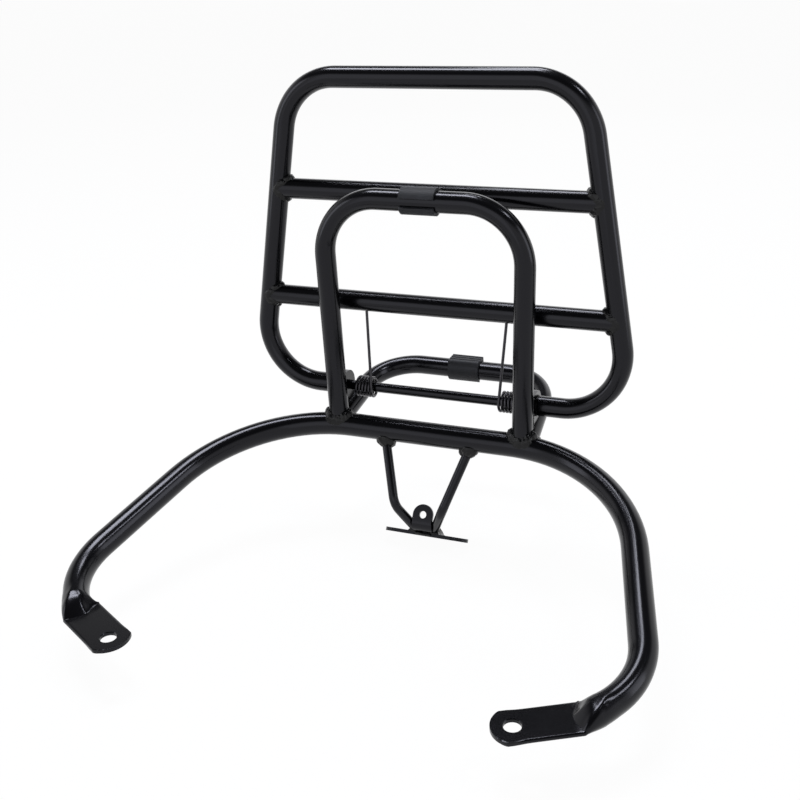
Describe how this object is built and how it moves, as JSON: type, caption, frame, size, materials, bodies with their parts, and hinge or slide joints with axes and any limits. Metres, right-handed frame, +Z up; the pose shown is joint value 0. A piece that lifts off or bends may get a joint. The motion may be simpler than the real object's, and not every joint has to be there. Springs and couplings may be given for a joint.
{
  "type": "motorcycle luggage rack",
  "caption": "Folding tubular rear luggage rack for a motorcycle: bent carrier tube with pressed bolt tabs, two hoops with rubber buffers, sprung folding rack frame and foot bracket",
  "frame": {"origin": "midway between the two bolt holes, on the underside of the pressed tabs", "axes": "+X to the right in the picture, along the line of the two tab holes; +Y to the rear, away from the tabs, the way the rack folds down; +Z up, square to the tabs"},
  "size_m": [0.4236, 0.3647, 0.37],
  "materials": {
    "black_paint": "gloss",
    "buffer_rubber": "matte",
    "dark_zinc_steel": "satin",
    "spring_wire": "satin"
  },
  "bodies": {
    "carrier": {"carrier_tube": "black_paint", "upright_hoop": "black_paint", "lower_hoop": "black_paint", "hinge_lug_left": "black_paint", "hinge_lug_right": "black_paint", "strut_left": "black_paint", "strut_right": "black_paint", "foot_strap": "black_paint", "eye_plate": "black_paint", "hoop_buffer": "buffer_rubber", "rest_buffer": "buffer_rubber", "foot_welds_left": "black_paint", "foot_welds_right": "black_paint", "strut_welds": "black_paint", "strap_welds": "black_paint"},
    "rack": {"rack_frame": "black_paint", "crossbar_lower": "black_paint", "crossbar_upper": "black_paint", "crossbar_welds": "black_paint", "hinge_rod": "dark_zinc_steel", "rod_bush_left": "dark_zinc_steel", "rod_bush_right": "dark_zinc_steel", "hinge_washers": "dark_zinc_steel", "spring_left": "spring_wire", "spring_right": "spring_wire"}
  },
  "joints": [
    {"name": "rack_fold", "type": "hinge", "parent": "carrier", "child": "rack", "pos_m": [0, 0.2665, 0.0853], "axis": [-1, 0, 0], "range_deg": [-3.3, 78.3], "stiffness_Nm_per_rad": 1.8, "springref_deg": -1.2, "deforming": ["spring_left", "spring_right"]}
  ]
}
